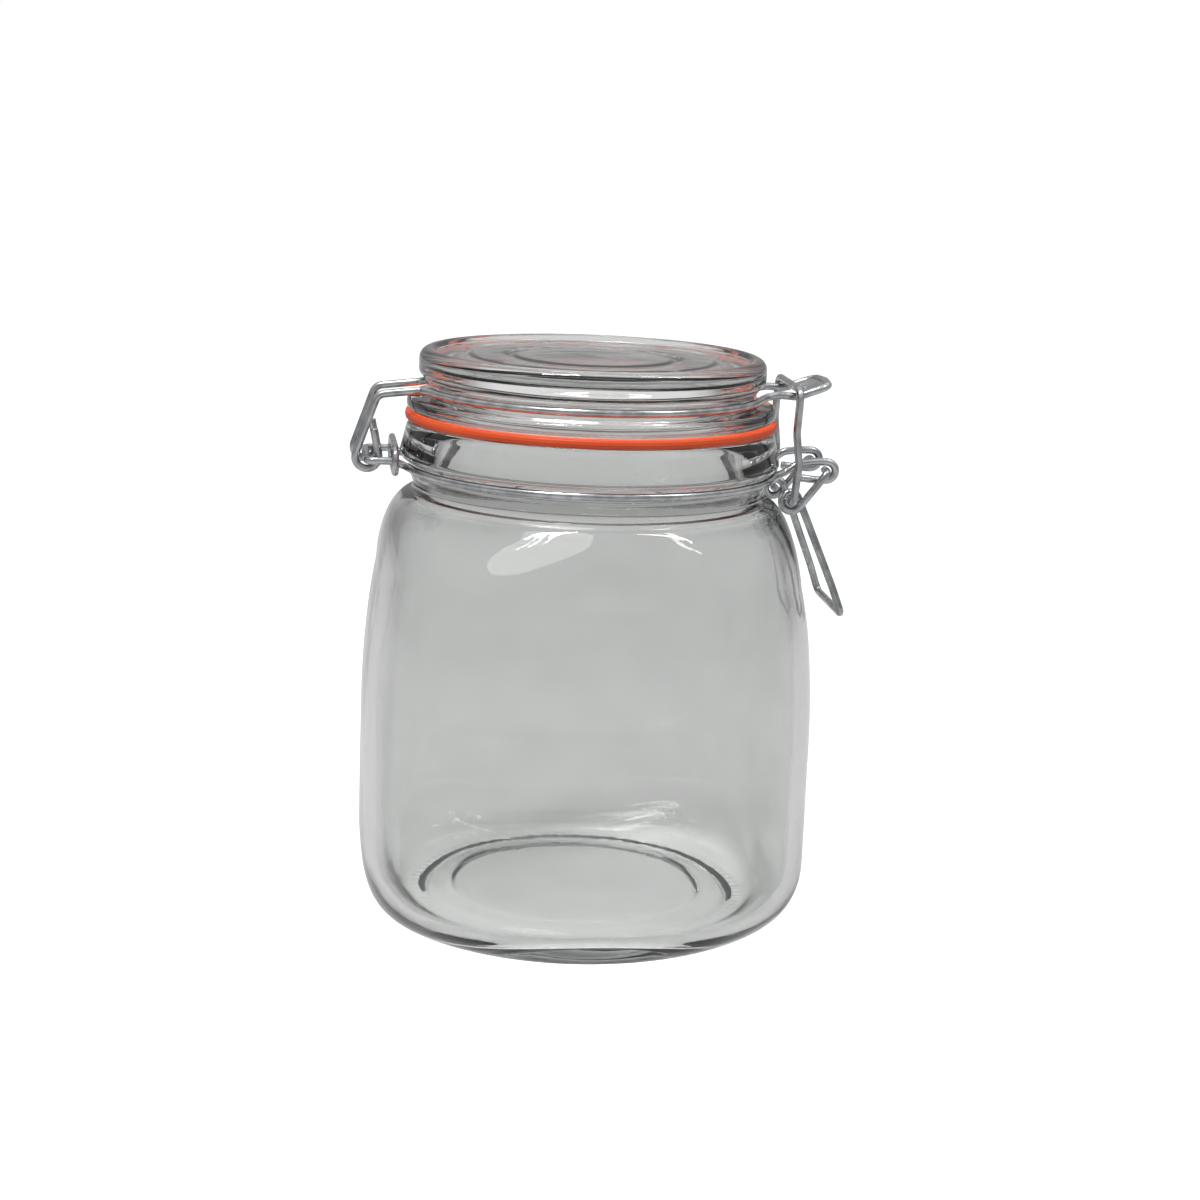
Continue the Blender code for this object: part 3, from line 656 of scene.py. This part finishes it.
def lid_section(settings):
    """The lid's section as (r, z), from the middle of its hollow out, up and back to its top's middle."""
    flange, dish = settings.flange_radius, settings.dish_radius
    outer_ring, ring = settings.outer_ring_radius, settings.ring_radius
    hollow, plug, plug_low, skirt_low = 35 * MM, 39.2 * MM, LID_LOW.z, SEAL_HIGH.z + 0.3 * MM
    hollow_top, groove, flange_low = 142.5 * MM, 42.0 * MM, 139.8 * MM
    skirt_top, floor = 135.3 * MM, LID_TOP - 1.2 * MM
    return np.vstack([
        [(0.0, hollow_top + 0.2 * MM)],
        arc((hollow - 3.4 * MM, hollow_top - 3.4 * MM), 3.4 * MM, 90, 0),
        arc((hollow + 1.2 * MM, plug_low + 1.2 * MM), 1.2 * MM, 180, 270),
        arc((plug - 1.2 * MM, plug_low + 1.2 * MM), 1.2 * MM, -90, 0),
        [(plug, skirt_low - 0.2 * MM), (plug + 0.3 * MM, skirt_low)],
        arc((SKIRT_RADIUS - 1.3 * MM, skirt_low + 1.3 * MM), 1.3 * MM, -90, 0),
        arc((SKIRT_RADIUS - 1.5 * MM, skirt_top - 1.5 * MM), 1.5 * MM, 0, 80),
        [(groove + 0.9 * MM, skirt_top + 0.3 * MM), (groove, skirt_top + 1.2 * MM),
         (groove, flange_low - 1.2 * MM), (groove + 0.9 * MM, flange_low - 0.1 * MM)],
        arc((flange - 2.2 * MM, flange_low + 2.2 * MM), 2.2 * MM, -80, 0),
        arc((flange - 2.6 * MM, LID_TOP - 2.6 * MM), 2.6 * MM, 0, 90),
        [(dish + 0.9 * MM, LID_TOP - 0.05 * MM), (dish - 0.4 * MM, floor)],
        [(outer_ring + 1.4 * MM, floor), (outer_ring + 0.5 * MM, floor - 0.25 * MM),
         (outer_ring - 0.5 * MM, floor - 0.25 * MM), (outer_ring - 1.4 * MM, floor)],
        [(ring + 1.6 * MM, floor), (ring + 0.6 * MM, floor - 0.35 * MM), (ring - 0.6 * MM, floor - 0.35 * MM),
         (ring - 1.6 * MM, floor), (0.0, floor)]])


def build_glass_lid(settings):
    """Solid of revolution of the lid's section, its corners eased by a bell 0.3 mm wide."""
    section = thinned(eased(lid_section(settings), 0.3 * MM), 3.5 * MM, 7.0)
    section[:, 0] = np.maximum(section[:, 0], 0.0)
    material = glass_material("soda_lime_glass_pressed", settings.light_tint, settings.deep_tint, 9, 0.9, 7.0)
    return add_turned("lid_glass", section, LID_AROUND, material)


def build_seal_ring(settings):
    """A closed section (r, z) turned about Z: flat faces, rounded outer edges and a fine mould line."""
    low, high, outer, inner = SEAL_LOW.z, SEAL_HIGH.z, SEAL_HIGH.y, 40.5 * MM
    edge, middle = settings.edge, (SEAL_LOW.z + SEAL_HIGH.z) / 2
    section = np.vstack([
        arc((outer - edge, low + edge), edge, -90, -10, 8),
        [(outer - 0.02 * MM, middle - 0.12 * MM), (outer + 0.10 * MM, middle),
         (outer - 0.02 * MM, middle + 0.12 * MM)],
        arc((outer - edge, high - edge), edge, 10, 90, 8),
        [(outer - 2.2 * MM, high), (inner + 2.0 * MM, high)],
        arc((inner + 0.4 * MM, high - 0.4 * MM), 0.4 * MM, 90, 180, 4),
        arc((inner + 0.4 * MM, low + 0.4 * MM), 0.4 * MM, 180, 270, 4),
        [(inner + 2.0 * MM, low), (outer - 2.2 * MM, low)]])
    material = rubber_material("natural_rubber_moulded", settings.main, settings.worn)
    return add_surface("seal_rubber", turned(section, LID_AROUND), material, closed=True)


# ---------------------------------------------------------------- the wires and the plate

GAP = 0.4 * MM                # air between wires that touch
BAND_RADIUS = GROOVE_RADIUS + 1.4 * MM
LID_WIRE_RADIUS, LID_WIRE_Z = 43.4 * MM, 137.4 * MM
LOOP_Y, LOOP_RADIUS = 9.8 * MM, 2.4 * MM
ARM_Y = LOOP_Y + 2 * MM + GAP
BAIL_Y = ARM_Y + 2 * MM + GAP
HINGE_ARM_Y, HOOK_Y, HOOK_RADIUS = 11.0 * MM, 8.5 * MM, 3.0 * MM
NOSE_Y, SADDLE_X, SADDLE_Z = 9.0 * MM, 51.6 * MM, 138.0 * MM
NOSE_TIP_X, NOSE_TIP_Z = 60.5 * MM, 141.2 * MM
CLIP_X = -50.3 * MM
ARM_BEND_X, ARM_BEND_Z = -54.9 * MM, 136.2 * MM    # where the lid wire turns down to its hooks
LEG_END_X, LEG_END_Z = 65.2 * MM, 82.7 * MM        # the lever's legs leave their coils towards here
KNEE_X, KNEE_Z, KNEE_SHARE = 62.4 * MM, 90.0 * MM, 0.75
BAIL_BAR_X = 51.3 * MM
KINK_LOW_Z, KINK_HIGH_Z = 121.4 * MM, 129.4 * MM   # the slight kink in the bail's legs


def build_band_wire(wire, material):
    """Lever loop, half the neck, hinge loop, and the same mirrored."""
    leave_latch = np.degrees(np.arcsin(LOOP_Y / BAND_RADIUS))
    leave_hinge = 180 - np.degrees(np.arcsin(HINGE_ARM_Y / BAND_RADIUS))
    arm_x = -np.sqrt(BAND_RADIUS ** 2 - HINGE_ARM_Y ** 2)
    route = np.vstack([
        [(PIVOT_X - 7.8 * MM, LOOP_Y, PIVOT_Z - 1.7 * MM),
         (PIVOT_X - 4.0 * MM, LOOP_Y, PIVOT_Z - LOOP_RADIUS + 0.2 * MM)],
        turn_in_plane((PIVOT_X, PIVOT_Z), LOOP_RADIUS, -90, 90, LOOP_Y, LOOP_Y),
        [(PIVOT_X - 3.0 * MM, LOOP_Y, PIVOT_Z + LOOP_RADIUS),
         (PIVOT_X - 7.2 * MM, LOOP_Y, PIVOT_Z + 1.9 * MM),
         (PIVOT_X - 10.8 * MM, LOOP_Y + 0.1 * MM, BAND_Z + 0.8 * MM)],
        round_neck(BAND_RADIUS, BAND_Z, leave_latch + 3, leave_hinge - 5),
        bent([((arm_x - 1.5 * MM, HINGE_ARM_Y, BAND_Z + 0.8 * MM), 0.0),
              ((arm_x - 4.2 * MM, HINGE_ARM_Y, HINGE_Z), 2 * MM),
              ((HINGE_X, HINGE_ARM_Y, HINGE_Z), 1.8 * MM), ((HINGE_X, 0.0, HINGE_Z), 0.0)])])
    return add_wire("band_wire_fine", both_sides(route), wire.radius, material)


def build_band_clip(wire, material):
    """A stadium-shaped ring in a plane of constant X: two half circles joined by straight runs."""
    reach, radius = HINGE_ARM_Y - 0.5 * MM, 3.0 * MM
    angles = np.radians(np.linspace(-90, 90, 25))
    half = np.stack([np.full_like(angles, CLIP_X), reach + radius * np.cos(angles),
                     HINGE_Z + radius * np.sin(angles)], axis=1)
    route = np.vstack([half, (half * (1, -1, 1))[::-1]])
    return add_wire("band_clip_fine", route, wire.radius - 0.1 * MM, material, closed=True)


def build_lid_wire(wire, material):
    """Hook round the crossbar, hinge arm, half the groove, the nose, and the same mirrored."""
    leave_hinge = 180 - np.degrees(np.arcsin(HOOK_Y / LID_WIRE_RADIUS))
    leave_nose = np.degrees(np.arcsin(NOSE_Y / LID_WIRE_RADIUS))
    hook = turn_in_plane((HINGE_X, HINGE_Z + 0.6 * MM), HOOK_RADIUS, 12, -205, HOOK_Y, HOOK_Y)
    arm = bent([(hook[-1], 0.0), ((ARM_BEND_X, HOOK_Y, ARM_BEND_Z), 2.4 * MM),
                ((-44.0 * MM, HOOK_Y, LID_WIRE_Z), 0.0)])
    nose = bent([((44.0 * MM, NOSE_Y, LID_WIRE_Z + 0.4 * MM), 0.0),
                 ((47.0 * MM, NOSE_Y, SADDLE_Z + 0.4 * MM), 2 * MM),
                 ((SADDLE_X, NOSE_Y, SADDLE_Z), 4 * MM),
                 ((NOSE_TIP_X - 0.8 * MM, NOSE_Y, NOSE_TIP_Z - 0.3 * MM), 3 * MM),
                 ((NOSE_TIP_X, 0.0, NOSE_TIP_Z), 0.0)])
    route = np.vstack([[(HINGE_X + 1.6 * MM, HOOK_Y, HINGE_Z + 7.8 * MM)], hook, arm[1:],
                       round_neck(LID_WIRE_RADIUS, LID_WIRE_Z, leave_hinge - 5, leave_nose + 5), nose])
    return add_wire("lid_wire_fine", both_sides(route), wire.radius, material)


def build_lever(wire, material):
    """Pin, arm, one turn of coil, leg, handle bar, and the same mirrored."""
    run, rise = COIL_X - PIVOT_X, COIL_Z - PIVOT_Z
    coil_radius, leg_y = 2.4 * MM, ARM_Y - 2 * MM - GAP
    handle_x, handle_y = HANDLE_HIGH.x - wire.radius, HANDLE_HIGH.y - wire.radius
    handle_z = HANDLE_LOW.z + wire.radius
    start = np.degrees(np.arctan2(rise, run) + np.arcsin(coil_radius / np.hypot(run, rise))) + 90
    end = np.degrees(np.arctan2(LEG_END_Z - COIL_Z, LEG_END_X - COIL_X)) + 90 - 360
    coil = turn_in_plane((COIL_X, COIL_Z), coil_radius, start, end, ARM_Y, leg_y)
    pin = bent([((PIVOT_X, LOOP_Y - 2.2 * MM, PIVOT_Z), 0.0), ((PIVOT_X, ARM_Y, PIVOT_Z), 1.6 * MM),
                (coil[0], 0.0)])
    knee = (KNEE_X, leg_y + (handle_y - leg_y) * KNEE_SHARE, KNEE_Z)
    leg = bent([(coil[-1], 0.0), (knee, 8 * MM), ((handle_x, handle_y, handle_z), 1.6 * MM),
                ((handle_x, 0.0, handle_z), 0.0)])
    return add_wire("lever_wire", both_sides(np.vstack([pin[:-1], coil, leg[1:]])), wire.radius, material)


def build_bail(wire, material):
    """Pin, leg with its slight kink, bar over the nose, and the same mirrored."""
    bar_x, bar_z = BAIL_BAR_X, BAIL_HIGH.z - wire.radius
    route = bent([((COIL_X, ARM_Y - 3.0 * MM, COIL_Z), 0.0), ((COIL_X, BAIL_Y, COIL_Z), 1.4 * MM),
                  ((COIL_X + 0.9 * MM, BAIL_Y, KINK_LOW_Z), 12 * MM),
                  ((COIL_X - 0.1 * MM, BAIL_Y, KINK_HIGH_Z), 10 * MM),
                  ((bar_x, BAIL_Y, bar_z), 2.6 * MM), ((bar_x, 0.0, bar_z), 0.0)])
    return add_wire("bail_wire", both_sides(route), wire.radius, material)


def build_nose_plate(material):
    """A thin plate with a rounded-rectangle outline |x/a|^5 + |y/b|^5 = 1, dished by the square of the
    distance from its middle, its top and bottom joined by a half-round edge."""
    low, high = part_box("nose_plate")
    near, far, half_y = low.x, high.x, high.y
    slope = (NOSE_TIP_Z - SADDLE_Z) / (NOSE_TIP_X - SADDLE_X)
    half_x, middle_x, thick = (far - near) / 2, (far + near) / 2, 0.8 * MM
    dish_depth = 0.45 * MM
    share = np.linspace(0.06, 1.0, 16)
    flat = np.full_like(share, 0.5)
    edge = np.linspace(0.0, np.pi, 9)[1:-1]
    spread = np.concatenate([share, 1 + 0.35 * thick * np.sin(edge) / half_y, share[::-1]])
    level = np.concatenate([flat, 0.5 * np.cos(edge), -flat]) * thick
    angle = np.linspace(0.0, 2 * np.pi, 96, endpoint=False)[None, :]
    reach = 0.965 * spread[:, None] * plan_reach(angle, 5.0)
    x, y = half_x * reach * np.cos(angle), half_y * reach * np.sin(angle)
    dish = dish_depth * (np.minimum(spread, 1.0)[:, None] ** 2 - 0.75) * np.ones_like(x)
    z = SADDLE_Z + (middle_x + x - SADDLE_X) * slope + level[:, None] + dish
    rows = np.stack([middle_x + x, y, z], axis=-1)[::-1]
    centre_z = SADDLE_Z + (middle_x - SADDLE_X) * slope - 0.75 * dish_depth
    return add_surface("nose_plate_fine", rows, material, (middle_x, 0, centre_z - thick / 2),
                       (middle_x, 0, centre_z + thick / 2))


# ---------------------------------------------------------------- operators

class CLAMPJAR_OT_jar(bpy.types.Operator):
    """Build the blown glass jar"""
    bl_idname = "clamp_jar.jar"
    bl_label = "Glass jar"

    def execute(self, context):
        finish_piece(build_glass_jar(context.scene.clamp_jar.jar), "jar", "glass_jar")
        return {"FINISHED"}


class CLAMPJAR_OT_lid(bpy.types.Operator):
    """Build the pressed glass lid"""
    bl_idname = "clamp_jar.lid"
    bl_label = "Glass lid"

    def execute(self, context):
        finish_piece(build_glass_lid(context.scene.clamp_jar.lid), "lid", "glass_lid")
        return {"FINISHED"}


class CLAMPJAR_OT_seal(bpy.types.Operator):
    """Build the rubber seal"""
    bl_idname = "clamp_jar.seal"
    bl_label = "Rubber seal"

    def execute(self, context):
        finish_piece(build_seal_ring(context.scene.clamp_jar.seal), "lid", "seal_ring")
        return {"FINISHED"}


class CLAMPJAR_OT_wires(bpy.types.Operator):
    """Build the band, its clip, the lid wire, the lever and the bail"""
    bl_idname = "clamp_jar.wires"
    bl_label = "Wires"

    def execute(self, context):
        wire = context.scene.clamp_jar.wire
        material = zinc_wire_material("zinc_plated_drawn_wire", wire.bright, wire.dull)
        finish_piece(build_band_wire(wire, material), "jar", "band_wire")
        finish_piece(build_band_clip(wire, material), "jar", "band_clip")
        finish_piece(build_lid_wire(wire, material), "lid", "lid_wire")
        finish_piece(build_lever(wire, material), "lever", "latch_lever")
        finish_piece(build_bail(wire, material), "bail", "latch_bail")
        return {"FINISHED"}


class CLAMPJAR_OT_nose_plate(bpy.types.Operator):
    """Build the pressed plate in the nose of the lid wire"""
    bl_idname = "clamp_jar.nose_plate"
    bl_label = "Nose plate"

    def execute(self, context):
        wire = context.scene.clamp_jar.wire
        material = zinc_plate_material("zinc_plated_pressed_sheet", wire.bright, wire.dull)
        finish_piece(build_nose_plate(material), "lid", "nose_plate")
        return {"FINISHED"}


def add_softbox(name, place, target, size, power):
    """A rectangular area light at a place, turned to a target."""
    light = bpy.data.lights.new(name, "AREA")
    light.shape = "RECTANGLE"
    light.size, light.size_y = size
    light.energy = power
    item = bpy.data.objects.new(name, light)
    item.location = place
    item.rotation_mode = "QUATERNION"
    item.rotation_quaternion = (Vector(target) - Vector(place)).to_track_quat("-Z", "Y")
    bpy.context.scene.collection.objects.link(item)
    return item


def add_sky_panel(strength, spread_deg):
    """A very soft, very distant panel, which lights the whole floor evenly and shows in no highlight."""
    light = bpy.data.lights.new("sky_panel", "SUN")
    light.energy = strength
    light.angle = np.radians(spread_deg)
    item = bpy.data.objects.new("sky_panel", light)
    item.rotation_euler = (np.radians(28), np.radians(-22), 0.0)
    item.visible_glossy = False
    bpy.context.scene.collection.objects.link(item)
    return item


def set_world():
    """A pale room: bright overhead, mid grey round the horizon, by the height of the direction."""
    world = bpy.data.worlds.new("studio")
    bpy.context.scene.world = world
    world.use_nodes = True
    tree = world.node_tree
    tree.nodes.clear()
    direction = add_node(tree, "ShaderNodeTexCoord").outputs["Generated"]
    height = add_node(tree, "ShaderNodeSeparateXYZ", {"Vector": direction}).outputs["Z"]
    sky = add_ramp(tree, height, [(0.0, grey(0.42)), (0.30, grey(0.48)), (0.70, grey(1.0))])
    room = add_node(tree, "ShaderNodeBackground", {"Color": sky, "Strength": 0.85})
    wall = add_node(tree, "ShaderNodeBackground", {"Color": (*grey(1.0), 1.0), "Strength": 1.0})
    seen = add_node(tree, "ShaderNodeLightPath").outputs["Is Camera Ray"]
    mixed = add_node(tree, "ShaderNodeMixShader", {"Fac": seen})
    tree.links.new(room.outputs["Background"], mixed.inputs[1])
    tree.links.new(wall.outputs["Background"], mixed.inputs[2])
    add_node(tree, "ShaderNodeOutputWorld", {"Surface": mixed.outputs["Shader"]})


def build_floor(settings):
    """A flat disc of paper: rings of points at growing radii about the origin."""
    radii = np.geomspace(settings.floor_radius, 0.05, 9)
    section = np.stack([radii, np.zeros(len(radii))], axis=1)
    material = paper_material("studio_paper_matt", settings.paper, settings.paper_shade,
                              settings.paper_shaded_in_glass)
    return add_surface("floor", turned(section, 96), material, last=(0, 0, 0))


TUBE_SIZE = (0.035, 0.55)


class CLAMPJAR_OT_stage(bpy.types.Operator):
    """Set the floor, the lights and the camera"""
    bl_idname = "clamp_jar.stage"
    bl_label = "Stage"

    def execute(self, context):
        settings = context.scene.clamp_jar.stage
        build_floor(settings)
        set_world()
        add_sky_panel(1.38, 40)
        for row in range(3):
            place = (-0.42 + 0.09 * row, -0.30, 1.35)
            add_softbox(f"tube_left_{row}", place, JAR_SHOULDER, TUBE_SIZE, 3.2)
        for row in range(2):
            place = (0.62 + 0.10 * row, -0.25, 1.30)
            add_softbox(f"tube_right_{row}", place, JAR_SHOULDER, TUBE_SIZE, 1.3)
        camera_data = bpy.data.cameras.new("camera")
        camera_data.lens = settings.camera_lens
        camera_data.sensor_width = 36.0
        camera = bpy.data.objects.new("camera", camera_data)
        tilt = Euler((np.pi / 2 - settings.camera_pitch, 0.0, -settings.camera_yaw)).to_matrix()
        turn = tilt @ Matrix.Rotation(settings.camera_roll, 3, "Z")
        camera.matrix_world = Matrix.Translation(settings.camera_place) @ turn.to_4x4()
        context.scene.collection.objects.link(camera)
        context.scene.camera = camera
        context.scene.view_settings.view_transform = "Standard"
        return {"FINISHED"}


class CLAMPJAR_PT_panel(bpy.types.Panel):
    """Lists the operators and the settings"""
    bl_label = "Clamp jar"
    bl_idname = "CLAMPJAR_PT_panel"
    bl_space_type = "VIEW_3D"
    bl_region_type = "UI"
    bl_category = "Clamp jar"

    def draw(self, context):
        for operator in OPERATORS:
            self.layout.operator(operator.bl_idname)
        for group in ("jar", "lid", "seal", "wire", "stage"):
            box = self.layout.box()
            settings = getattr(context.scene.clamp_jar, group)
            for name in type(settings).__annotations__:
                box.prop(settings, name)


OPERATORS = (CLAMPJAR_OT_stage, CLAMPJAR_OT_jar, CLAMPJAR_OT_lid, CLAMPJAR_OT_seal, CLAMPJAR_OT_wires,
             CLAMPJAR_OT_nose_plate)
CLASSES = (JarSettings, LidSettings, SealSettings, WireSettings, StageSettings, ClampJarSettings,
           *OPERATORS, CLAMPJAR_PT_panel)


def register():
    for item in CLASSES:
        bpy.utils.register_class(item)
    bpy.types.Scene.clamp_jar = PointerProperty(type=ClampJarSettings)


def unregister():
    del bpy.types.Scene.clamp_jar
    for item in reversed(CLASSES):
        bpy.utils.unregister_class(item)


def main():
    register()
    bpy.ops.clamp_jar.stage()
    bpy.ops.clamp_jar.jar()
    bpy.ops.clamp_jar.lid()
    bpy.ops.clamp_jar.seal()
    bpy.ops.clamp_jar.wires()
    bpy.ops.clamp_jar.nose_plate()
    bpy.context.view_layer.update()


if __name__ == "__main__":
    main()
